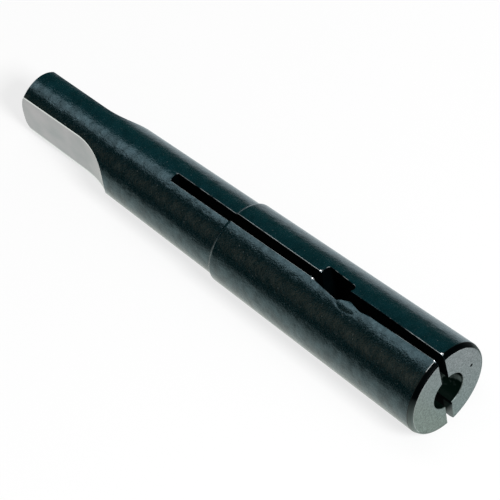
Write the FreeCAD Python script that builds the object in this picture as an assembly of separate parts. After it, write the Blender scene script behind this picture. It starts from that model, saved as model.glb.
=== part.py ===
import FreeCAD, Part
import math
import os

from FreeCAD import Vector

# Drill driver sleeve of the split pattern: No. 1 machine taper (MT1), for a straight drill with a tang.
# One piece of hardened steel, turned, drilled, slotted and milled. All lengths are in millimetres.
#
# While it is shaped, the sleeve lies along X: x = 0 is the tang's end, x = overall_length is the
# front face that takes the drill. The slit stands in the XZ plane and the tang's flats face +Y and -Y.
# At the end it is laid down on the two lower edges of its slit, which keep it from rolling.

# Turned body
overall_length = 67.1
gage_diameter = 12.065
gage_to_face = 4.93
taper_on_diameter = 0.04988
relief_length = 33.7
relief_depth = 0.32
shoulder_run = 0.33
shoulder_edge_radius = 0.45
chamfer_length = 0.65
chamfer_depth = 0.27
tang_dome_radius = 30.0
tang_edge_radius = 0.9

# Tang: two milled flats that run out on the cutter's own radius
tang_thickness = 4.95
tang_flat_length = 10.1
tang_cutter_radius = 9.2

# Bore for the drill's shank, a little below the centre, with the drill's point at its bottom
bore_diameter = 4.9
bore_side = 0.15
bore_drop = 0.3
bore_point_angle = 118.0
bore_past_slot_edge = 0.6

# Saw slit through both walls, closed at the back by the saw's own round
slit_width = 1.2
slit_length = 43.0
saw_diameter = 76.0

# Cross slot for the drill's tang, through both walls, a little to one side of the slit
slot_width = 3.0
slot_length = 4.1
slot_to_face = 15.45
slot_side = 0.3
slot_corner_radius = 0.35

# Lump of metal pushed up beside the slit, just in front of the slot
lump_to_face = 13.6
lump_radius = 2.2
lump_rise = 0.14
lump_depth = 0.9

# Mark of a hardness test on the front face
pit_side = 4.1
pit_height = 0.45
pit_diameter = 0.36
pit_angle = 120.0

# Tools are cut this much longer than the metal that they pass through
overrun = 2.0

taper_on_radius = taper_on_diameter / 2.0
shoulder_front = relief_length + shoulder_run
chamfer_back = overall_length - chamfer_length
slot_front = overall_length - slot_to_face
slot_back = slot_front - slot_length


def full_radius(x):
    """Radius of the taper at x, as if the back half had no relief."""
    gage_x = overall_length - gage_to_face
    return gage_diameter / 2.0 + taper_on_radius * (x - gage_x)


def back_radius(x):
    """Radius of the relieved back half at x."""
    return full_radius(x) - relief_depth


def dome_x(radius):
    """How far the tang's domed end has fallen back at this radius."""
    return tang_dome_radius - math.sqrt(tang_dome_radius ** 2 - radius ** 2)


def rims_at(shape, x):
    """The round edges of a turned shape that stand at x."""
    return [edge for edge in shape.Edges if edge.isClosed() and abs(edge.CenterOfMass.x - x) < 1e-6]


def turned_blank():
    """The turned form: domed tang end, relieved cone, shoulder, full cone and chamfered face."""
    rim = back_radius(0)
    rim_point = Vector(dome_x(rim), 0, rim)
    dome = Part.Arc(Vector(0, 0, 0), Vector(dome_x(rim / 2.0), 0, rim / 2.0), rim_point)
    corners = [
        rim_point,
        Vector(relief_length, 0, back_radius(relief_length)),
        Vector(shoulder_front, 0, full_radius(shoulder_front)),
        Vector(chamfer_back, 0, full_radius(chamfer_back)),
        Vector(overall_length, 0, full_radius(chamfer_back) - chamfer_depth),
        Vector(overall_length, 0, 0),
        Vector(0, 0, 0),
    ]
    sides = [Part.makeLine(start, end) for start, end in zip(corners, corners[1:])]
    section = Part.Face(Part.Wire([dome.toShape()] + sides))
    blank = section.revolve(Vector(0, 0, 0), Vector(1, 0, 0), 360)
    blank = blank.makeFillet(tang_edge_radius, rims_at(blank, rim_point.x))
    return blank.makeFillet(shoulder_edge_radius, rims_at(blank, shoulder_front))


def flat_cutter(side):
    """Metal milled off one side of the tang: a flat that curves out on the cutter's radius."""
    flat_y = tang_thickness / 2.0
    reach = full_radius(overall_length) + overrun
    eighth_turn = math.radians(45.0)
    half_x = tang_flat_length + tang_cutter_radius * math.sin(eighth_turn)
    half_y = flat_y + tang_cutter_radius * (1.0 - math.cos(eighth_turn))
    end_x = tang_flat_length + tang_cutter_radius
    end_y = flat_y + tang_cutter_radius
    outer_y = end_y + reach
    start = Vector(-overrun, side * flat_y, -reach)
    flat_end = Vector(tang_flat_length, side * flat_y, -reach)
    half = Vector(half_x, side * half_y, -reach)
    end = Vector(end_x, side * end_y, -reach)
    outer_front = Vector(end_x, side * outer_y, -reach)
    outer_back = Vector(-overrun, side * outer_y, -reach)
    edges = [
        Part.makeLine(start, flat_end),
        Part.Arc(flat_end, half, end).toShape(),
        Part.makeLine(end, outer_front),
        Part.makeLine(outer_front, outer_back),
        Part.makeLine(outer_back, start),
    ]
    return Part.Face(Part.Wire(edges)).extrude(Vector(0, 0, 2.0 * reach))


def bore_drill():
    """The drill that makes the bore from the front face, with its pointed bottom."""
    radius = bore_diameter / 2.0
    depth = slot_to_face + bore_past_slot_edge
    point = radius / math.tan(math.radians(bore_point_angle / 2.0))
    floor_x = overall_length - depth
    outline = [
        Vector(floor_x - point, 0, 0),
        Vector(floor_x, 0, radius),
        Vector(overall_length + overrun, 0, radius),
        Vector(overall_length + overrun, 0, 0),
        Vector(floor_x - point, 0, 0),
    ]
    section = Part.Face(Part.makePolygon(outline))
    drill = section.revolve(Vector(0, 0, 0), Vector(1, 0, 0), 360)
    drill.translate(Vector(0, bore_side, -bore_drop))
    return drill


def slit_saw():
    """The slit: a flat cut from the front face, closed at the back by an arc of the saw."""
    reach = full_radius(overall_length) + overrun
    saw_radius = saw_diameter / 2.0
    closed_x = overall_length - slit_length
    wall = back_radius(closed_x)
    centre_x = closed_x + math.sqrt(saw_radius ** 2 - wall ** 2)
    reach_x = centre_x - math.sqrt(saw_radius ** 2 - reach ** 2)
    front_x = overall_length + overrun
    y = -slit_width / 2.0
    upper = Vector(reach_x, y, reach)
    deepest = Vector(centre_x - saw_radius, y, 0)
    lower = Vector(reach_x, y, -reach)
    edges = [
        Part.Arc(upper, deepest, lower).toShape(),
        Part.makeLine(lower, Vector(front_x, y, -reach)),
        Part.makeLine(Vector(front_x, y, -reach), Vector(front_x, y, reach)),
        Part.makeLine(Vector(front_x, y, reach), upper),
    ]
    return Part.Face(Part.Wire(edges)).extrude(Vector(0, slit_width, 0))


def slot_cutter():
    """The cross slot for the drill's tang, milled through both walls, with round corners."""
    reach = full_radius(overall_length) + overrun
    box = Part.makeBox(
        slot_length, slot_width, 2.0 * reach,
        Vector(slot_back, slot_side - slot_width / 2.0, -reach))
    upright = [edge for edge in box.Edges if abs(edge.Vertexes[0].Z - edge.Vertexes[1].Z) > reach]
    return box.makeFillet(slot_corner_radius, upright)


def pushed_up_lump(blank):
    """Metal pushed from the slot's front corner into the slit, flush with the outside."""
    wall_y = -slit_width / 2.0
    lump_x = overall_length - lump_to_face
    top = full_radius(lump_x)
    column = Part.makeCylinder(
        lump_radius, lump_depth + overrun,
        Vector(lump_x, wall_y + lump_rise - lump_radius, top - lump_depth), Vector(0, 0, 1))
    return column.common(blank)


def hardness_pit():
    """The cone that a hardness tester's diamond leaves in the front face."""
    radius = pit_diameter / 2.0
    depth = radius / math.tan(math.radians(pit_angle / 2.0))
    return Part.makeCone(
        0.0, 2.0 * radius, 2.0 * depth,
        Vector(overall_length - depth, pit_side, pit_height), Vector(1, 0, 0))


def split_sleeve():
    """The whole sleeve, still lying along X."""
    blank = turned_blank()
    sleeve = blank
    for side in (1, -1):
        sleeve = sleeve.cut(flat_cutter(side))
    for cutter in (bore_drill(), slit_saw(), slot_cutter(), hardness_pit()):
        sleeve = sleeve.cut(cutter)
    return sleeve.fuse(pushed_up_lump(blank)).removeSplitter()


def slit_edge_height(x):
    """How far the slit's outer edges at x lie below the sleeve's own axis."""
    return math.sqrt(full_radius(x) ** 2 - (slit_width / 2.0) ** 2)


def lay_down(sleeve):
    """Tip the sleeve until its lower slit edges are level, and set them down on z = 0, centred."""
    front_height = slit_edge_height(chamfer_back)
    rise = front_height - slit_edge_height(shoulder_front)
    tip = math.degrees(math.atan(rise / (chamfer_back - shoulder_front)))
    sleeve.rotate(Vector(chamfer_back, 0, -front_height), Vector(0, 1, 0), -tip)
    middle = sleeve.optimalBoundingBox(False).Center
    sleeve.translate(Vector(-middle.x, 0, front_height))
    return sleeve


os.makedirs("parts", exist_ok=True)
finished = lay_down(split_sleeve())
finished.exportStep("parts/split_sleeve.step")
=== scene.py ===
import math

import bpy
import numpy as np
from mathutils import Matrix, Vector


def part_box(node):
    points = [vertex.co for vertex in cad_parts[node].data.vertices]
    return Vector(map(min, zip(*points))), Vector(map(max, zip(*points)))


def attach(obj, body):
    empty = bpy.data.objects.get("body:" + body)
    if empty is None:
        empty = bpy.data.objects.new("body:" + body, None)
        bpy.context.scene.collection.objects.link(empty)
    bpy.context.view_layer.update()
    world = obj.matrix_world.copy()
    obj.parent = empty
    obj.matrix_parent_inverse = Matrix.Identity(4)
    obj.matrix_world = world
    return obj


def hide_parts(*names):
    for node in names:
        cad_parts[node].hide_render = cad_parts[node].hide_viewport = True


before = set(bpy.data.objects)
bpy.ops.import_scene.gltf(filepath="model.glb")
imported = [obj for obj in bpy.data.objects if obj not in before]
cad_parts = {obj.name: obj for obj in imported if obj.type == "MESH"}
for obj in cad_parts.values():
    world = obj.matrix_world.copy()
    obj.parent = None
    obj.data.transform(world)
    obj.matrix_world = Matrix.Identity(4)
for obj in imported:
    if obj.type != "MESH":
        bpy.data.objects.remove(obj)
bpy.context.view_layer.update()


# The sleeve's blank: one bar of hardened steel, turned to the standard taper, with a relieved rear half, a
# domed tang end and a chamfer round the front face. All the rest is cut out of this blank. Sizes are in
# millimetres along the sleeve's own axis, from the tang's end at x = 0 to the front face.
overall_length = 67.1
gage_radius = 6.0325
gage_to_face = 4.93
taper_on_radius = 0.02494
relief_length = 33.7
relief_depth = 0.32
relief_root_radius = 0.12
shoulder_run = 0.33
shoulder_edge_radius = 0.45
chamfer_length = 0.65
chamfer_depth = 0.20
chamfer_edge_radius = 0.25
face_rim_radius = 0.28
tang_dome_radius = 30.0
tang_edge_radius = 0.45
dome_start_radius = 0.5
dome_rings = 9
arc_steps = 10
blank_columns = 540
ring_spacing = 1.2
chamfer_edge_share = 0.25
face_rim_share = 0.015
raised_x = 53.05
raised_y = -1.10
raised_half_x = 1.1
raised_half_y = 0.55
raised_height = 0.055
groove_distance = 1.45
groove_half_width = 0.25
groove_depth = 0.018
least_radius = 1.0
fine_reach = 2.2 * raised_half_x
fine_ring_spacing = 0.16

KIND_COUNT = 10
OXIDE, WORN, SAWN, GROUND, FACED, BORED, MOUTH_LIT, LIT_CHAMFER_EDGE, RIMMED, BEVELLED = range(KIND_COUNT)


def taper_radius(x):
    """Radius of the standard taper at x: the gage radius plus the taper times the way from the gage line."""
    return gage_radius + taper_on_radius * (x - (overall_length - gage_to_face))


def dome_x(radius):
    """Where the tang's domed end lies at this radius: the dome's own radius R less sqrt(R^2 - radius^2)."""
    return tang_dome_radius - np.sqrt(tang_dome_radius ** 2 - np.square(radius))


def rounded(corners, radii, steps):
    """An open outline with its corners rounded. Each arc touches both of its straight runs: its centre lies
    on the corner's bisector, radius / sin(half the corner's angle) away, and it turns evenly between them."""
    corners = np.array(corners, float)
    points = [corners[:1]]
    for before, corner, after, radius in zip(corners[:-2], corners[1:-1], corners[2:], radii):
        back = (before - corner) / np.linalg.norm(before - corner)
        ahead = (after - corner) / np.linalg.norm(after - corner)
        half = math.acos(np.clip(back @ ahead, -1.0, 1.0)) / 2.0
        centre = corner + (back + ahead) / np.linalg.norm(back + ahead) * radius / math.sin(half)
        start = corner + back * radius / math.tan(half) - centre
        end = corner + ahead * radius / math.tan(half) - centre
        turn = math.pi - 2.0 * half
        share = np.linspace(0.0, 1.0, steps + 1)[:, None]
        arc = (np.sin((1.0 - share) * turn) * start + np.sin(share * turn) * end) / math.sin(turn)
        points.append(centre + arc)
    points.append(corners[-1:])
    return np.concatenate(points)


def with_rings(outline, spacing):
    """The same outline with each long run divided evenly, so that no run is longer than the spacing."""
    lengths = np.linalg.norm(np.diff(outline, axis=0), axis=1)
    parts = np.maximum(1, np.ceil(lengths / spacing)).astype(int)
    start = np.repeat(np.arange(len(parts)), parts)
    share = (np.arange(parts.sum()) - np.repeat(np.cumsum(parts) - parts, parts)) / parts[start]
    inner = outline[start] + share[:, None] * (outline[start + 1] - outline[start])
    return np.concatenate([inner, outline[-1:]])


def tube_mesh(name, rings, kinds, cap_kinds, ladder=False):
    """A closed mesh through rings of points, an array of (ring, point, xyz). Each ring runs anticlockwise,
    seen from the last one. kinds gives a finish for each (ring, point) quad. A ladder cap joins each point to
    the one across the ring's middle, for ends that aren't flat."""
    count, around = rings.shape[:2]
    index = np.arange(count * around).reshape(count, around)
    ahead = np.roll(index, -1, axis=1)
    quads = np.stack([index[:-1], ahead[:-1], ahead[1:], index[1:]], axis=-1).reshape(-1, 4)
    faces = quads.tolist()
    first, last = index[0], index[-1]
    if ladder:
        half = np.arange(around // 2 - 1)
        across = around - 1 - half
        rungs = np.stack([half, half + 1, across - 1, across], axis=-1)
        faces += first[rungs][:, ::-1].tolist() + last[rungs].tolist()
        caps = np.repeat(cap_kinds, len(half))
    else:
        faces += [first[::-1].tolist(), last.tolist()]
        caps = np.array(cap_kinds)
    mesh = bpy.data.meshes.new(name)
    mesh.from_pydata(rings.reshape(-1, 3).tolist(), [], faces)
    for kind in range(KIND_COUNT):
        mesh.materials.append(None)
    face_kinds = np.concatenate([np.broadcast_to(kinds, (count - 1, around)).ravel(), caps])
    mesh.polygons.foreach_set("material_index", face_kinds.astype(np.int32))
    mesh.update()
    piece = bpy.data.objects.new(name, mesh)
    bpy.context.scene.collection.objects.link(piece)
    return piece


def turned(name, outline, columns, kinds, cap_kinds, y=0.0, z=0.0):
    """A surface turned about a line along X: outline point (x, r) becomes the ring (x, r cos a, r sin a)."""
    angle = np.linspace(0.0, 2.0 * math.pi, columns, endpoint=False)
    across = outline[:, 1:] * np.cos(angle) + y
    upward = outline[:, 1:] * np.sin(angle) + z
    along = np.broadcast_to(outline[:, :1], across.shape)
    return tube_mesh(name, np.stack([along, across, upward], axis=-1), kinds, cap_kinds)


shoulder_front = relief_length + shoulder_run
chamfer_back = overall_length - chamfer_length
tang_rim = taper_radius(0.0) - relief_depth
dome_end = tang_rim - 2.0 * tang_edge_radius
blank_corners = [
    (dome_x(dome_end), dome_end),
    (dome_x(tang_rim), tang_rim),
    (relief_length, taper_radius(relief_length) - relief_depth),
    (shoulder_front, taper_radius(shoulder_front)),
    (chamfer_back, taper_radius(chamfer_back)),
    (overall_length, taper_radius(chamfer_back) - chamfer_depth),
    (overall_length, 0.0),
]
blank_radii = [
    tang_edge_radius,
    relief_root_radius,
    shoulder_edge_radius,
    chamfer_edge_radius,
    face_rim_radius,
]
dome_radii = np.linspace(dome_start_radius, dome_end, dome_rings)[:-1]
dome = np.stack([dome_x(dome_radii), dome_radii], axis=-1)
turned_sides = rounded(blank_corners, blank_radii, arc_steps)[:-1]
blank_outline = with_rings(np.concatenate([dome, turned_sides]), ring_spacing)
fine_stations = np.arange(raised_x - fine_reach, raised_x + fine_reach, fine_ring_spacing)
fine_radii = np.interp(fine_stations, blank_outline[:, 0], blank_outline[:, 1])
blank_outline = np.concatenate([blank_outline, np.stack([fine_stations, fine_radii], axis=-1)])
blank_outline = blank_outline[np.argsort(blank_outline[:, 0], kind="stable")]


def outer_radius(x):
    """The blank's radius at x, read off its outline."""
    return np.interp(x, blank_outline[:, 0], blank_outline[:, 1])


middle_x = (blank_outline[:-1, 0] + blank_outline[1:, 0]) / 2.0
chamfer_edge_half = chamfer_edge_share * chamfer_edge_radius
kind_ends = [
    middle_x < chamfer_back - chamfer_edge_half,
    middle_x < chamfer_back + chamfer_edge_half,
    middle_x < overall_length - face_rim_share * face_rim_radius,
]
# The chamfer's back edge and the face's rim get finishes with painted highlights on their upper sides.
blank_kinds = np.select(kind_ends, [OXIDE, LIT_CHAMFER_EDGE, BEVELLED], RIMMED)[:, None]
sleeve = turned("blackened_sleeve", blank_outline, blank_columns, blank_kinds, (OXIDE, FACED))

# The skin beside the slit is pushed up just ahead of the cross slot. The rise is height times
# exp(-distance^3), with the distance in the swelling's own half lengths, and a groove runs round its outer
# side as a bell curve of the same distance.
skin = np.empty(len(sleeve.data.vertices) * 3)
sleeve.data.vertices.foreach_get("co", skin)
skin = skin.reshape(-1, 3)
from_raised = np.hypot((skin[:, 0] - raised_x) / raised_half_x, (skin[:, 1] - raised_y) / raised_half_y)
groove = groove_depth * np.exp(-((from_raised - groove_distance) / groove_half_width) ** 2)
rise = raised_height * np.exp(-from_raised ** 3) - groove * (skin[:, 1] < raised_y)
rise *= skin[:, 2] > 0.0
skin[:, 1:] *= 1.0 + (rise / np.maximum(np.hypot(skin[:, 1], skin[:, 2]), least_radius))[:, None]
sleeve.data.vertices.foreach_set("co", skin.ravel())


# The edges of the saw slit, the cross slot and the bore are broken by a small radius, as tumbling leaves
# them. A cutter's wall bends outwards over this radius where it leaves the metal, in three chords, and then
# runs on clear of the surface.
edge_break = 0.05
lip_run_on = 0.3
lip_clear = 3.0
lip_turn = np.radians([0.0, 30.0, 60.0, 90.0])
lip_out = np.append(edge_break * (1.0 - np.cos(lip_turn)), edge_break + lip_run_on)
lip_depth = np.append(edge_break * (1.0 - np.sin(lip_turn)), -lip_clear)
lip_faces = len(lip_out) - 1
cutters = []


# The saw slit from the front face, through both walls. The saw's own round closes it at the back, and it runs
# a little askew. Its near wall stands out in a lump just in front of the cross slot, where that slot's cutter
# pushed metal into it, and falls back in a dent ahead of the lump.
slit_length = 43.0
slit_stations = (24.1, 46.5, 56.5, 66.0)
near_wall_y = (-0.77, -0.70, -0.62, -0.50)
far_wall_y = (0.55, 0.49, 0.66, 0.58)
near_lean = 0.030
far_lean = 0.035
saw_radius = 38.0
saw_corner = 0.2
lump_x = 53.2
lump_rise = 0.17
lump_half_length = 0.5
dent_x = 54.95
dent_depth = 0.19
dent_half_length = 0.75
slot_corner_x = 51.55
slot_corner_flare = 0.6
slot_corner_run = 0.6
hand_made_depth = 0.9
near_front_skew = -0.17
far_front_skew = -0.23
front_skew_level = 0.35
bright_length = 1.6
fine_row_spacing = 0.12
row_spacing = 0.8
least_row_gap = 0.1 * edge_break
dent_reach = 2.5 * dent_half_length
shoulder_reach = 0.5
chamfer_reach = 0.3
flare_from = -0.2
dark_levels = 3
saw_corner_steps = np.array([0.0, 0.03, 0.12, 0.3, 0.6, 1.0, 2.0])
wall_level = np.array([0.0, 0.3, 0.55, 0.7, 0.8, 0.88, 0.94])

# Rows are stations along the slit. In each row a chain of points climbs a wall from its middle, through the
# wall's levels, and ends in the lip's chords.
slit_back = overall_length - slit_length
turned_x = blank_outline[:, 0]
rows = np.concatenate([
    slit_back + saw_corner * saw_corner_steps,
    np.arange(slit_back + row_spacing, overall_length - row_spacing, row_spacing),
    np.arange(slot_corner_x - fine_row_spacing, dent_x + dent_reach, fine_row_spacing),
    turned_x[(turned_x > relief_length - shoulder_reach) & (turned_x < shoulder_front + shoulder_reach)],
    turned_x[(turned_x > chamfer_back - chamfer_reach) & (turned_x < overall_length - edge_break)],
    overall_length - lip_depth,
])
rows = np.unique(np.round(rows, 4))
rows = rows[np.append(True, np.diff(rows) > least_row_gap)][:, None]
is_lip = np.append(np.zeros(len(wall_level), bool), np.ones(len(lip_out), bool))
chain_level = np.append(wall_level, np.ones(len(lip_out)))
chain_out = np.append(np.zeros(len(wall_level)), lip_out)
chain_depth = np.append(np.zeros(len(wall_level)), lip_depth)

wall_height = outer_radius(np.minimum(rows, overall_length)) - edge_break
rim_height = wall_height[0]
saw_centre = slit_back + np.sqrt(saw_radius ** 2 - rim_height ** 2)
saw_edge = saw_centre - np.sqrt(saw_radius ** 2 - (chain_level * rim_height) ** 2) - chain_out
at_closed_end = np.clip(1.0 - (rows - slit_back) / row_spacing, 0.0, 1.0)
slit_x = rows + (saw_edge - slit_back) * at_closed_end
from_corner = 1.0 - np.clip((rows - slit_back) / saw_corner, 0.0, 1.0)
corner_in = saw_corner * (1.0 - np.sqrt(1.0 - from_corner ** 2))
face_out = np.interp(rows, overall_length - lip_depth, lip_out)


def slit_half(wall_y, lean, side, up):
    """One half of a slit wall, from the middle outwards. The wall meets the top at wall_y, leans over by its
    share of the depth, and its lip bends away to this side. The lip's height is that of the turned surface,
    sqrt(r^2 - y^2), less the lip's own depth."""
    leaning = lean * (up * chain_level - 1.0) * wall_height
    y = wall_y + leaning + side * (face_out + chain_out - corner_in)
    surface = np.sqrt(outer_radius(np.minimum(slit_x, overall_length)) ** 2 - y ** 2)
    z = np.where(is_lip, surface - chain_depth, chain_level * (surface - edge_break))
    return np.stack([slit_x, y, up * z], axis=-1)


def swelling(middle, half_length):
    """A bell curve along the slit: 1 at its middle, falling as exp(-(distance / half length)^2)."""
    return np.exp(-((rows - middle) / half_length) ** 2)


near_y = np.interp(rows, slit_stations, near_wall_y)
far_y = np.interp(rows, slit_stations, far_wall_y)
past_slot = rows - slot_corner_x
flare = slot_corner_flare * np.exp(-np.maximum(past_slot, 0.0) / slot_corner_run) * (past_slot > flare_from)
near_bulge = (
    lump_rise * swelling(lump_x, lump_half_length) - dent_depth * swelling(dent_x, dent_half_length) - flare)
depth_below = (1.0 - chain_level) * wall_height
skew_along = np.interp(rows, (chamfer_back, overall_length), (0.0, 1.0))
front_skew = skew_along * np.clip((chain_level - front_skew_level) / (1.0 - front_skew_level), 0.0, 1.0)
near_top = near_bulge * np.exp(-(depth_below / hand_made_depth) ** 2)
far_side = np.concatenate([
    slit_half(far_y, far_lean, 1.0, -1.0)[:, :0:-1],
    slit_half(far_y + far_front_skew * front_skew, far_lean, 1.0, 1.0),
], axis=1)
near_side = np.concatenate([
    slit_half(near_y, near_lean, -1.0, -1.0)[:, :0:-1],
    slit_half(near_y + near_top + near_front_skew * front_skew, near_lean, -1.0, 1.0),
], axis=1)
slit_rings = np.concatenate([far_side, near_side[:, ::-1]], axis=1)

lip_kinds = np.where(np.diff(chain_out) > 0.0, WORN, SAWN)
wall_kinds = np.concatenate([lip_kinds[::-1], lip_kinds])
slit_kinds = np.concatenate([wall_kinds, [SAWN], wall_kinds[::-1], [SAWN]])
slit_kinds = np.repeat(slit_kinds[None, :], len(rows) - 1, axis=0)
lower_far_wall = np.arange(len(slit_kinds[0])) < len(wall_level) + len(lip_out) - dark_levels
bright_rows = rows[:-1] > overall_length - bright_length
# Painted light: the lower far wall near the front face gets a grey finish where light reaches in.
slit_kinds[bright_rows & lower_far_wall & (slit_kinds == SAWN)] = MOUTH_LIT
cutters.append(tube_mesh("slit_saw", slit_rings, slit_kinds, (SAWN, SAWN), ladder=True))


# The cross slot for the drill's tang: milled through both walls with an end mill, so its corners are round.
near_front = (51.52, -1.28)
far_front = (52.32, 1.56)
far_back = (47.59, 1.83)
near_back = (47.54, -0.80)
slot_corner_radii = (0.2, 0.5, 0.35, 0.2)
slot_spacing = 0.2

near_middle = tuple(np.add(near_front, near_back) / 2.0)
slot_corners = [near_middle, near_front, far_front, far_back, near_back, near_middle]
slot_outline = with_rings(rounded(slot_corners, slot_corner_radii, arc_steps), slot_spacing)[:-1]
ahead = np.roll(slot_outline, -1, axis=0) - np.roll(slot_outline, 1, axis=0)
outward = np.stack([ahead[:, 1], -ahead[:, 0]], axis=-1) / np.linalg.norm(ahead, axis=1)[:, None]
slot_xy = slot_outline + outward * lip_out[:, None, None]
slot_surface = np.sqrt(outer_radius(slot_xy[:, :, 0]) ** 2 - slot_xy[:, :, 1] ** 2)
slot_z = (slot_surface - lip_depth[:, None])[:, :, None]
slot_upper = np.concatenate([slot_xy, slot_z], axis=-1)
slot_lower = np.concatenate([slot_xy, -slot_z], axis=-1)
slot_lip = np.full(lip_faces, WORN)
slot_kinds = np.concatenate([slot_lip, [SAWN], slot_lip])[:, None]
slot_rings = np.concatenate([slot_lower[::-1], slot_upper])
cutters.append(tube_mesh("slot_mill", slot_rings, slot_kinds, (SAWN, SAWN), ladder=True))


# The bore for the drill's shank, drilled a little below the centre, with the drill's pointed bottom.
bore_radius = 2.45
bore_side = 0.15
bore_drop = 0.3
bore_to_face = 16.05
bore_lip = 2.0
bore_half_point = math.radians(59.0)
bore_columns = 180
bore_tip_share = 0.9

bore_floor = overall_length - bore_to_face
bore_tip = bore_floor - bore_tip_share * bore_radius / math.tan(bore_half_point)
bore_outline = np.concatenate([
    [[bore_tip, (1.0 - bore_tip_share) * bore_radius], [bore_floor, bore_radius]],
    np.stack([overall_length - bore_lip * lip_depth, bore_radius + bore_lip * lip_out], axis=-1),
])
bore_kinds = np.append([BORED, BORED], np.full(lip_faces, FACED))[:, None]
cutters.append(turned(
    "bore_drill", bore_outline, bore_columns, bore_kinds, (BORED, BORED), bore_side, -bore_drop))


# The tang's two flats: milled and ground bright, each running out on the cutter's own round. The second
# cutter is the first one's mirror image, and its outline is reversed to keep its faces pointing outwards.
tang_half_thickness = 2.475
tang_flat_length = 10.1
tang_cutter_radius = 9.2
flat_steps = 12
run_out_steps = 60
clear_height = 9.0
clear_x = -2.0
clear_past_run_out = 1.0

turn = np.linspace(0.0, math.pi / 2.0, run_out_steps + 1)
flat_x = np.concatenate([
    [clear_x],
    np.linspace(0.0, tang_flat_length, flat_steps)[:-1],
    tang_flat_length + tang_cutter_radius * np.sin(turn),
])
flat_y = tang_half_thickness + tang_cutter_radius * np.append(np.zeros(flat_steps), 1.0 - np.cos(turn))
loop_x = np.concatenate([flat_x, [flat_x[-1] + clear_past_run_out, clear_x]])
loop_y = np.concatenate([flat_y, np.full(2, flat_y[-1] + clear_past_run_out)])
levels = np.array([-clear_height, clear_height])
for side, name in ((1.0, "left_flat_mill"), (-1.0, "right_flat_mill")):
    loop = np.stack(np.broadcast_arrays(loop_x, side * loop_y, levels[:, None]), axis=-1)
    cutters.append(tube_mesh(name, loop[:, ::int(side)], np.array([[GROUND]]), (GROUND, GROUND)))


# The tang's end: ground over by hand, so it is rounder than the dome, and falls back at its top and its far
# side. The ground surface lies at x = grind_x(z) + crown_x(y), both read off a few stations and evened out.
grind_z = (-5.0, -3.9, -3.3, -2.75, -2.3, -1.6, -0.8, 0.0, 1.0, 1.7, 2.45, 3.0, 3.6, 4.2, 5.0)
grind_x = (2.6, 1.35, 0.80, 0.42, 0.22, 0.05, 0.02, 0.10, 0.20, 0.335, 0.545, 0.76, 1.07, 1.41, 1.97)
crown_y = (-3.6, -2.475, -1.6, -0.8, 0.0, 0.8, 1.6, 2.1, 2.475, 3.6)
crown_x = (0.45, 0.0, -0.36, -0.55, -0.62, -0.56, -0.33, -0.06, 0.22, 1.3)
grind_steps = 60
crown_steps = 48
evening_passes = 3

grind_level = np.linspace(grind_z[0], grind_z[-1], grind_steps)
grind_place = np.interp(grind_level, grind_z, grind_x)
crown_level = np.linspace(crown_y[-1], crown_y[0], crown_steps)
crown_place = np.interp(crown_level, crown_y, crown_x)
for evening in range(evening_passes):
    for places in (grind_place, crown_place):
        places[1:-1] = (places[:-2] + 2.0 * places[1:-1] + places[2:]) / 4.0
ground_x = grind_place + crown_place[:, None]
grind_loop_x = np.concatenate([ground_x, np.full((crown_steps, 2), clear_x)], axis=1)
grind_loop_z = np.concatenate([grind_level, [grind_z[-1], grind_z[0]]])
grind_parts = np.broadcast_arrays(grind_loop_x, crown_level[:, None], grind_loop_z)
cutters.append(tube_mesh("end_grind", np.stack(grind_parts, axis=-1), np.array([[OXIDE]]), (OXIDE, OXIDE)))


# The mark of a hardness test on the front face: a shallow cone pressed by a diamond.
pit_side = 4.1
pit_height = 0.45
pit_radius = 0.22
pit_depth = 0.104
pit_columns = 24
pit_steps = np.array([[-1.0, 0.05], [0.0, 1.0], [1.0, 2.0]])

pit_outline = pit_steps * (pit_depth, pit_radius) + (overall_length, 0.0)
cutters.append(turned(
    "hardness_mark", pit_outline, pit_columns, np.array([[SAWN]]), (SAWN, SAWN), pit_side, pit_height))


# Four corners of the slit are chipped bright: two where the cross slot opens out of it, and two at the
# chamfer. Each chip is a small ball taken out of the corner, and chip_places gives x and y on the top.
# Near the outer surface the chips' ground steel takes that finish's painted highlight, so they show bright.
chip_places = ((47.42, 0.58), (47.36, -0.80), (66.42, 0.68), (66.45, -0.58))
chip_radius = 0.22
chip_lift = 0.35 * chip_radius
chip_columns = 20
chip_rings = 11
chip_pole = 0.06

chip_turn = np.linspace(chip_pole, math.pi - chip_pole, chip_rings)
chip_across = chip_radius * np.sin(chip_turn)
for number, (chip_x, chip_y) in enumerate(chip_places):
    chip_z = math.sqrt(outer_radius(chip_x) ** 2 - chip_y ** 2) + chip_lift
    chip_outline = np.stack([chip_x - chip_radius * np.cos(chip_turn), chip_across], axis=-1)
    chip_name = "corner_chip_" + str(number)
    cutters.append(turned(
        chip_name, chip_outline, chip_columns, np.array([[GROUND]]), (GROUND, GROUND), chip_y, chip_z))


# The cuts are made in the blank one after another, and the cutters are cleared away. Then the sleeve is laid
# on the two lower edges of its slit: it is tipped until its wide half's underside is level, and set down
# where the frame has it. Millimetres become metres here.
smooth_up_to = math.radians(32.0)
cad_slit_half = 0.6
metres = 0.001

for cutter in cutters:
    cut = sleeve.modifiers.new(cutter.name, "BOOLEAN")
    cut.operation = "DIFFERENCE"
    cut.solver = "EXACT"
    cut.material_mode = "INDEX"
    cut.object = cutter
finished = bpy.data.meshes.new_from_object(sleeve.evaluated_get(bpy.context.evaluated_depsgraph_get()))
sleeve.modifiers.clear()
sleeve.data = finished
for cutter in cutters:
    bpy.data.meshes.remove(cutter.data)

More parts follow.
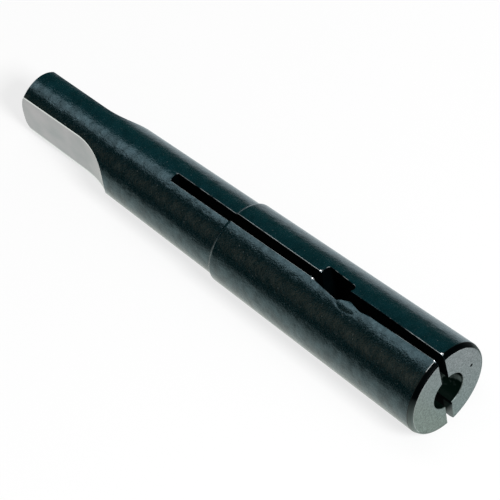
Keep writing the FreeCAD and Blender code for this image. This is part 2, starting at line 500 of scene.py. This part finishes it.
edge_below_front = math.sqrt(taper_radius(chamfer_back) ** 2 - cad_slit_half ** 2)
edge_below_back = math.sqrt(taper_radius(shoulder_front) ** 2 - cad_slit_half ** 2)
tip = math.atan((edge_below_front - edge_below_back) / (chamfer_back - shoulder_front))
points = np.empty(len(finished.vertices) * 3)
finished.vertices.foreach_get("co", points)
points = points.reshape(-1, 3)
ahead_of_edge = points[:, 0] - chamfer_back
above_edge = points[:, 2] + edge_below_front
along = ahead_of_edge * math.cos(tip) - above_edge * math.sin(tip)
upward = ahead_of_edge * math.sin(tip) + above_edge * math.cos(tip)
low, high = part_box("split_sleeve")
pivot_x = (low.x + high.x) / 2.0 / metres - (along.min() + along.max()) / 2.0
along += pivot_x
placed = np.stack([along, points[:, 1], upward], axis=-1) * metres
finished.vertices.foreach_set("co", placed.ravel())
finished.shade_smooth()
finished.set_sharp_from_angle(angle=smooth_up_to)
finished.update()
evener = sleeve.modifiers.new("even_shading", "WEIGHTED_NORMAL")
evener.keep_sharp = True


# The finishes. Each one is worked out from noise in the sleeve's own axes and from the place on the object,
# in metres, so that uncoated steel, worn edges, painted highlights, painted shade and painted light lie where
# they are seen on the sleeve. The helpers that make the nodes come first, and then one function to each
# finish.
def add_node(tree, kind, inputs=None, **settings):
    """Adds a node, sets its settings, and fills its inputs with values or with links from other nodes."""
    made = tree.nodes.new(kind)
    for name, value in settings.items():
        setattr(made, name, value)
    for name, value in (inputs or {}).items():
        if isinstance(value, bpy.types.NodeSocket):
            tree.links.new(value, made.inputs[name])
        else:
            made.inputs[name].default_value = value
    return made


def new_tree(owner):
    """Switches the owner's nodes on and hands back its empty node tree."""
    owner.use_nodes = True
    owner.node_tree.nodes.clear()
    return owner.node_tree


def maths(tree, operation, *values):
    """A sum, product or other operation on values or links, in the order that the node has them."""
    return add_node(tree, "ShaderNodeMath", dict(enumerate(values)), operation=operation).outputs[0]


def own_place(tree):
    """The place on the object, in metres."""
    return add_node(tree, "ShaderNodeTexCoord").outputs["Object"]


def way_along(tree, direction):
    """How far a place on the object lies along a direction: their dot product, in metres."""
    product = {0: own_place(tree), 1: direction}
    return add_node(tree, "ShaderNodeVectorMath", product, operation="DOT_PRODUCT").outputs["Value"]


def grain(tree, scale, detail=3.0):
    """Noise in the sleeve's own axes, with this many features to the metre along x, y and z."""
    own = add_node(tree, "ShaderNodeMapping", {
        "Vector": own_place(tree), "Rotation": (0.0, tip, 0.0), "Scale": scale})
    return add_node(tree, "ShaderNodeTexNoise", {
        "Vector": own.outputs[0], "Scale": 1.0, "Detail": detail, "Roughness": 0.6}).outputs["Fac"]


def spread(tree, value, low, high, to_low=0.0, to_high=1.0):
    """Maps low..high of a value to to_low..to_high, held at its ends."""
    return add_node(tree, "ShaderNodeMapRange", {
        "Value": value, "From Min": low, "From Max": high, "To Min": to_low, "To Max": to_high}).outputs[0]


def blend(tree, share, first, second):
    """Mixes two colours, or links that carry colours, by a share."""
    first = first if isinstance(first, bpy.types.NodeSocket) else (*first, 1.0)
    second = second if isinstance(second, bpy.types.NodeSocket) else (*second, 1.0)
    colours = {"Factor": share, "A": first, "B": second}
    return add_node(tree, "ShaderNodeMix", colours, data_type="RGBA").outputs[2]


def bumpy(tree, height, distance, **under):
    """A normal tilted by a height of 0 to 1 over this distance in metres. It may be laid over another one,
    which is given as Normal."""
    settings = {"Height": height, "Strength": 1.0, "Distance": distance, **under}
    return add_node(tree, "ShaderNodeBump", settings).outputs[0]


def finish(name, fill):
    """A material whose shader takes the sockets that fill(tree) works out."""
    material = bpy.data.materials.new(name)
    tree = new_tree(material)
    shader = add_node(tree, "ShaderNodeBsdfPrincipled", fill(tree))
    add_node(tree, "ShaderNodeOutputMaterial", {"Surface": shader.outputs[0]})
    return material


def black_oxide(tree):
    """Oiled black oxide: nearly black and bluish, glossy, with a fine orange-peel grain and pale flecks."""
    fine = grain(tree, (5200.0, 5200.0, 5200.0), 2.0)
    coarse = grain(tree, (800.0, 1000.0, 1000.0), 4.0)
    patches = grain(tree, (900.0, 600.0, 600.0), 4.0)
    flecks = spread(tree, grain(tree, (4200.0, 4200.0, 4200.0), 1.0), 0.70, 0.80)
    lift = spread(tree, fine, 0.35, 0.7)
    dark = blend(tree, lift, (0.0002, 0.0035, 0.0036), (0.0008, 0.0075, 0.0085))
    return {
        "Base Color": blend(tree, flecks, dark, (0.05, 0.06, 0.06)),
        "Roughness": spread(tree, fine, 0.35, 0.65, 0.17, 0.29),
        "Normal": bumpy(tree, coarse, 0.000060, Normal=bumpy(tree, fine, 0.000014)),
        "IOR": spread(tree, patches, 0.36, 0.64, 1.70, 2.05),
        "Specular Tint": (0.58, 0.87, 1.0, 1.0),
    }


def ramp_node(tree, position, stops):
    """A ramp over the position, 0 to 1, through stops that each have a place and a colour or a grey level."""
    ramp = add_node(tree, "ShaderNodeValToRGB", {0: position})
    elements = ramp.color_ramp.elements
    while len(elements) < len(stops):
        elements.new(1.0)
    for element, (place, colour) in zip(elements, stops):
        element.position = place
        element.color = (*np.broadcast_to(colour, 3), 1.0)
    return ramp.outputs[0]


def bare_or_lit_metal(tree, share, bright_from, bright_at, covered, bright_colour, covered_ior):
    """Bright metal where the share is high and blackened metal where it is low: worn metal on the slit's
    edges, and a painted highlight on the chamfer's back edge and the face's rim. The share passes from one to
    the other between bright_from and bright_at."""
    bare_or_lit = spread(tree, share, bright_from, bright_at)
    return {
        "Base Color": blend(tree, bare_or_lit, covered, bright_colour),
        "Metallic": spread(tree, bare_or_lit, 0.0, 1.0, 0.0, 0.5),
        "Roughness": 0.36,
        "IOR": spread(tree, bare_or_lit, 0.0, 1.0, covered_ior, 1.4),
    }


half_length = 0.0336
wear_and_highlight_grain = (1100.0, 1100.0, 1100.0)
wear_stops = (
    (0.02, 0.35),
    (0.35, 0.45),
    (0.50, 0.55),
    (0.60, 0.80),
    (0.700, 0.95),
    (0.710, 0.08),
    (0.73, 0.35),
    (0.765, 0.35),
    (0.78, 0.00),
    (0.86, 0.10),
    (0.90, 0.60),
    (0.985, 0.75),
    (0.991, 0.00),
)


def worn_edge(tree):
    """A slit edge rubbed bright: most just behind the cross slot, hardly at all just ahead of it, and more
    again towards the front. wear_stops give the wear along the sleeve, from the tang's end to the front."""
    along = spread(tree, way_along(tree, (1.0, 0.0, 0.0)), -half_length, half_length)
    wear = ramp_node(tree, along, wear_stops)
    share = maths(tree, "MULTIPLY_ADD", wear, 0.45, grain(tree, wear_and_highlight_grain, 4.0))
    return bare_or_lit_metal(tree, share, 0.62, 0.90, (0.003, 0.008, 0.010), (0.44, 0.49, 0.50), 1.12)


def painted_edge_highlight(direction, start, full, least, most):
    """A painted highlight along an edge: its colour is painted bright on the edge's lit upper side, broken
    into patches by noise, with oxide between. The share of the bright colour grows from the place start to
    the place full, both in metres along the direction."""
    def fill(tree):
        # Painted highlight: the share of bright colour rises towards the edge's upper side.
        lift = spread(tree, way_along(tree, direction), start, full, least, most)
        share = maths(tree, "ADD", grain(tree, wear_and_highlight_grain, 4.0), lift)
        return bare_or_lit_metal(tree, share, 0.46, 0.62, (0.001, 0.003, 0.003), (0.46, 0.49, 0.49), 1.4)
    return fill


def chamfer_wall(tree):
    """The chamfer: dull black oxide above, where the light misses it, and low down a grey-green that is
    painted light from the floor.
    """
    marks = grain(tree, (2400.0, 900.0, 900.0))
    # Painted light from the floor: the chamfer's colour turns grey-green low down.
    low = spread(tree, way_along(tree, (0.0, 0.0, 1.0)), 0.0098, 0.0040)
    return {
        "Base Color": blend(tree, low, (0.0002, 0.0008, 0.0010), (0.100, 0.140, 0.130)),
        "Roughness": spread(tree, marks, 0.3, 0.7, 0.42, 0.52),
        "IOR": spread(tree, low, 0.0, 1.0, 1.08, 1.7),
        "Normal": bumpy(tree, marks, 0.000008),
    }


def sawn_wall(tree):
    """A sawn or milled wall under the oxide: dull black, with marks across it."""
    marks = grain(tree, (2400.0, 900.0, 400.0))
    return {
        "Base Color": blend(tree, marks, (0.0001, 0.0005, 0.0009), (0.0006, 0.0022, 0.0026)),
        "Roughness": 0.5,
        "IOR": 1.02,
        "Normal": bumpy(tree, marks, 0.000008),
    }


def slit_mouth_painted_light(tree):
    """The slit's lower wall at the front: painted light, grey towards the front face and the bottom where
    light reaches in, and painted shade, black, further in and up.
    """
    marks = grain(tree, (900.0, 900.0, 2600.0))
    # Painted light and shade: grey towards the front and the bottom, black further in and up.
    bare_or_lit = spread(tree, way_along(tree, (1.0, 0.0, -0.5)), 0.0319, 0.0326)
    grey = blend(tree, marks, (0.08, 0.11, 0.105), (0.18, 0.22, 0.21))
    return {
        "Base Color": blend(tree, bare_or_lit, (0.004, 0.014, 0.011), grey),
        "Roughness": 0.45,
        "IOR": spread(tree, bare_or_lit, 0.0, 1.0, 1.04, 1.4),
        "Normal": bumpy(tree, marks, 0.000008),
    }


def bored_wall(tree):
    """The drilled wall: dark green-black oxide with rings from the drill, and painted light inside its mouth:
    pale blotches on its upper far wall, where the lamps don't reach.
    """
    patch = spread(tree, grain(tree, (700.0, 900.0, 900.0), 4.0), 0.46, 0.66)
    upper = spread(tree, way_along(tree, (-0.6, 1.0, 0.6)), -0.0153, -0.0147)
    front = spread(tree, way_along(tree, (1.0, 0.0, 0.0)), 0.0298, 0.0306)
    # Painted light: pale blotches on the bore's upper far wall near its mouth.
    painted_light_blotches = maths(tree, "MULTIPLY", patch, maths(tree, "MULTIPLY", upper, front))
    rings = grain(tree, (5000.0, 300.0, 300.0))
    return {
        "Base Color": blend(tree, painted_light_blotches, (0.0003, 0.0040, 0.0025), (0.10, 0.13, 0.12)),
        "Roughness": spread(tree, rings, 0.3, 0.7, 0.36, 0.46),
        "IOR": 1.25,
        "Normal": bumpy(tree, rings, 0.000008),
    }


# Width and fade, in metres, of the painted highlight along the edges of the ground steel.
edge_line_width = 0.00010
edge_line_fade = 0.00034
tang_end_x = 33.5
axis_height = (edge_below_front - pivot_x * math.sin(tip)) * metres
radius_at_middle = (tang_rim + tang_end_x * taper_on_radius) * metres


def ground_flat(tree):
    """Ground steel: without oxide and satin, with grinding marks along the tang, and a painted highlight, a
    pale
    line, where the flat meets the round: where sqrt(y^2 + z^2), from the sleeve's own axis, comes near the
    turned radius."""
    own = add_node(tree, "ShaderNodeMapping", {
        "Vector": own_place(tree), "Rotation": (0.0, tip, 0.0), "Location": (0.0, 0.0, -axis_height)})
    parts = add_node(tree, "ShaderNodeSeparateXYZ", {"Vector": own.outputs[0]})
    section = add_node(tree, "ShaderNodeCombineXYZ", {1: parts.outputs[1], 2: parts.outputs[2]})
    length = add_node(tree, "ShaderNodeVectorMath", {0: section.outputs[0]}, operation="LENGTH")
    turned_radius = maths(tree, "MULTIPLY_ADD", parts.outputs[0], taper_on_radius, radius_at_middle)
    inside = maths(tree, "SUBTRACT", turned_radius, length.outputs["Value"])
    # Painted highlight: a pale line along the edge where the flat meets the round.
    painted_edge_line = spread(tree, inside, edge_line_width, edge_line_fade, 1.0, 0.0)
    marks = grain(tree, (500.0, 3000.0, 7000.0))
    cloud = grain(tree, (260.0, 260.0, 260.0), 2.0)
    tone = blend(tree, marks, (0.37, 0.355, 0.385), (0.47, 0.455, 0.49))
    clouded = blend(tree, spread(tree, cloud, 0.35, 0.65, 0.0, 0.7), tone, (0.30, 0.325, 0.345))
    return {
        "Base Color": blend(tree, painted_edge_line, clouded, (0.80, 0.82, 0.84)),
        "Metallic": 1.0,
        "Roughness": spread(tree, marks, 0.3, 0.7, 0.33, 0.42),
        "Normal": bumpy(tree, marks, 0.000004),
    }


def front_face(tree):
    """The front face: steel without oxide, faced in the lathe and then blasted to a fine even speckle.
    Painted shade makes it darker and greener at its lower near side, and it is lighter and more neutral at
    its upper far side."""
    speckle = grain(tree, (4200.0, 4200.0, 4200.0), 4.0)
    cloud = grain(tree, (700.0, 700.0, 700.0), 2.0)
    # Painted shade: the face is darker and greener towards its lower near side.
    side = spread(tree, way_along(tree, (0.0, 0.7, 0.7)), 0.0010, 0.0085)
    darker = blend(tree, side, (0.070, 0.103, 0.094), (0.100, 0.116, 0.116))
    lighter = blend(tree, side, (0.205, 0.262, 0.243), (0.260, 0.280, 0.280))
    tone = blend(tree, spread(tree, speckle, 0.35, 0.68), darker, lighter)
    return {
        "Base Color": blend(tree, spread(tree, cloud, 0.4, 0.7, 0.0, 0.3), tone, (0.15, 0.185, 0.178)),
        "Metallic": 0.6,
        "Roughness": 0.42,
        "Normal": bumpy(tree, speckle, 0.000010),
    }


# Painted highlights: along the top of the chamfer's back edge, and along the upper near side of the face's
# rim.
chamfer_highlight = painted_edge_highlight((0.0, -0.2, 1.0), 0.0120, 0.0123, -0.40, 0.06)
rim_highlight = painted_edge_highlight((0.0, -0.7, 1.0), 0.0050, 0.0080, -0.50, 0.14)
finishes = {
    OXIDE: ("black_oxide", black_oxide),
    WORN: ("worn_edge", worn_edge),
    LIT_CHAMFER_EDGE: ("chamfer_edge_highlight", chamfer_highlight),
    RIMMED: ("face_rim", rim_highlight),
    BEVELLED: ("chamfer", chamfer_wall),
    SAWN: ("sawn_and_blackened", sawn_wall),
    GROUND: ("ground_steel", ground_flat),
    FACED: ("bare_front_face", front_face),
    BORED: ("drilled_and_blackened", bored_wall),
    MOUTH_LIT: ("slit_mouth_lit_wall", slit_mouth_painted_light),
}
for kind, (finish_name, fill) in finishes.items():
    finished.materials[kind] = finish(finish_name, fill)
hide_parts("split_sleeve")
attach(sleeve, "root")


# The floor: a pale table top, white to the camera, that still takes the sleeve's shadow. In the steel's
# reflections it is bright beside the sleeve and fades away to both sides.
half_floor = 0.8
camera_glow_share = 0.75
near_half_reach = 0.033
far_half_reach = 0.080
near_colour = (0.97, 1.0, 0.93)
far_colour = (0.88, 0.97, 1.0)
colour_change = 0.001

floor_mesh = bpy.data.meshes.new("floor")
floor_corners = [
    (-half_floor, -half_floor, 0.0),
    (half_floor, -half_floor, 0.0),
    (half_floor, half_floor, 0.0),
    (-half_floor, half_floor, 0.0),
]
floor_mesh.from_pydata(floor_corners, [], [(0, 1, 2, 3)])
floor = bpy.data.objects.new("floor", floor_mesh)
bpy.context.scene.collection.objects.link(floor)
floor_paint = bpy.data.materials.new("pale_table")
tree = new_tree(floor_paint)
across = way_along(tree, (0.0, 1.0, 0.0))
nearer = maths(tree, "DIVIDE", across, -near_half_reach)
farther = maths(tree, "DIVIDE", across, far_half_reach)
reach = maths(tree, "MAXIMUM", nearer, farther)
fade = maths(tree, "DIVIDE", 1.0, maths(tree, "MULTIPLY_ADD", reach, reach, 1.0))
ray = add_node(tree, "ShaderNodeLightPath")
reflected = ray.outputs["Is Glossy Ray"]
strength = spread(tree, reflected, 0.0, 1.0, 1.0, fade)
share = maths(tree, "MULTIPLY_ADD", ray.outputs["Is Camera Ray"], camera_glow_share, reflected)
paint = add_node(tree, "ShaderNodeBsdfDiffuse", {"Color": (0.9, 0.9, 0.9, 1.0)})
side_colour = blend(tree, spread(tree, across, -colour_change, colour_change), near_colour, far_colour)
glow_colour = blend(tree, reflected, (1.0, 1.0, 1.0), side_colour)
glow = add_node(tree, "ShaderNodeEmission", {"Color": glow_colour, "Strength": strength})
both = add_node(tree, "ShaderNodeMixShader", {0: share, 1: paint.outputs[0], 2: glow.outputs[0]})
add_node(tree, "ShaderNodeOutputMaterial", {"Surface": both.outputs[0]})
floor_paint.cycles.emission_sampling = "NONE"
floor_mesh.materials.append(floor_paint)


# The studio: a white surround that the camera sees, and a dim room for the steel to reflect, teal on the far
# side, warm on the near side and dark between and in front. room_stops run over the angle from +Y over the
# top to -Y, in half turns, and the other limits are the ray's own x. The warmth fades towards the tang.
room_light = 0.25
room_full_x = -0.25
room_gone_x = 0.0
warm_from = 0.6
warm_gone_x = -0.535
warm_full_x = -0.475
unlit_colour = (0.0, 0.03, 0.04)
room_stops = [
    (0.00, (0.035, 0.15, 0.155)),
    (0.40, (0.012, 0.13, 0.15)),
    (0.55, (0.00, 0.01, 0.01)),
    (0.66, (0.00, 0.00, 0.00)),
    (0.72, (0.48, 0.32, 0.22)),
    (0.82, (0.44, 0.29, 0.20)),
    (0.90, (0.00, 0.00, 0.00)),
]

world = bpy.data.worlds.new("studio")
bpy.context.scene.world = world
tree = new_tree(world)
where = add_node(tree, "ShaderNodeTexCoord")
parts = add_node(tree, "ShaderNodeSeparateXYZ", {"Vector": where.outputs["Generated"]})
behind = spread(tree, parts.outputs[0], room_full_x, room_gone_x, 1.0, 0.0)
half_turns = maths(tree, "DIVIDE", maths(tree, "ARCTAN2", parts.outputs[2], parts.outputs[1]), math.pi)
round_room = ramp_node(tree, half_turns, room_stops)
ray = add_node(tree, "ShaderNodeLightPath")
plain = spread(tree, ray.outputs["Is Camera Ray"], 0.0, 1.0, room_light, 1.0)
plain_colour = add_node(tree, "ShaderNodeCombineXYZ", {0: plain, 1: plain, 2: plain}).outputs[0]
warm_side = maths(tree, "GREATER_THAN", half_turns, warm_from)
warm_end = spread(tree, parts.outputs[0], warm_gone_x, warm_full_x, 1.0, 0.0)
lit_room = blend(tree, maths(tree, "MULTIPLY", warm_side, warm_end), round_room, unlit_colour)
half_room = blend(tree, behind, (0.0, 0.0, 0.0), lit_room)
colour = blend(tree, ray.outputs["Is Glossy Ray"], plain_colour, half_room)
room = add_node(tree, "ShaderNodeBackground", {"Color": colour, "Strength": 1.0})
add_node(tree, "ShaderNodeOutputWorld", {"Surface": room.outputs[0]})
world.cycles.sampling_method = "NONE"


def area_lamp(name, place, size, radiance, aim=None):
    """A rectangular lamp that faces straight down, or the aim. Its power is radiance times area times pi."""
    lamp = bpy.data.lights.new(name, "AREA")
    lamp.shape = "RECTANGLE"
    lamp.size, lamp.size_y = size
    lamp.energy = radiance * math.pi * size[0] * size[1]
    holder = bpy.data.objects.new(name, lamp)
    holder.location = place
    if aim:
        holder.rotation_euler = (holder.location - Vector(aim)).to_track_quat("Z", "Y").to_euler()
    bpy.context.scene.collection.objects.link(holder)


area_lamp("overhead_softbox", (-0.285, 0.0615, 0.6), (0.53, 0.313), 1.25)
area_lamp("key_lamp", (0.42, -0.05, 0.45), (0.16, 0.16), 48.0, (0.0, 0.0, 0.0))


# The camera looks down on the sleeve from its front right, turned a little about its own line of sight.
camera_aim = np.array([1.63077, 0.22729, 4.59433]) * metres
camera_distance = 0.70264555
camera_azimuth = math.radians(52.4700768)
camera_elevation = math.radians(55.4691952)
camera_roll = math.radians(-10.8072886)

backward = np.array([
    math.sin(camera_azimuth) * math.cos(camera_elevation),
    -math.cos(camera_azimuth) * math.cos(camera_elevation),
    math.sin(camera_elevation),
])
level = np.array([math.cos(camera_azimuth), math.sin(camera_azimuth), 0.0])
above = np.cross(backward, level)
rightward = level * math.cos(camera_roll) + above * math.sin(camera_roll)
upright = np.cross(backward, rightward)
lens = bpy.data.cameras.new("camera")
lens.sensor_width = 36.0
lens.lens = 432.0
lens.clip_start = 0.01
camera = bpy.data.objects.new("camera", lens)
pose = np.identity(4)
pose[:3, 0], pose[:3, 1], pose[:3, 2] = rightward, upright, backward
pose[:3, 3] = camera_aim + backward * camera_distance
camera.matrix_world = pose.T.tolist()
bpy.context.scene.collection.objects.link(camera)
bpy.context.scene.camera = camera
bpy.context.scene.view_settings.view_transform = "Standard"
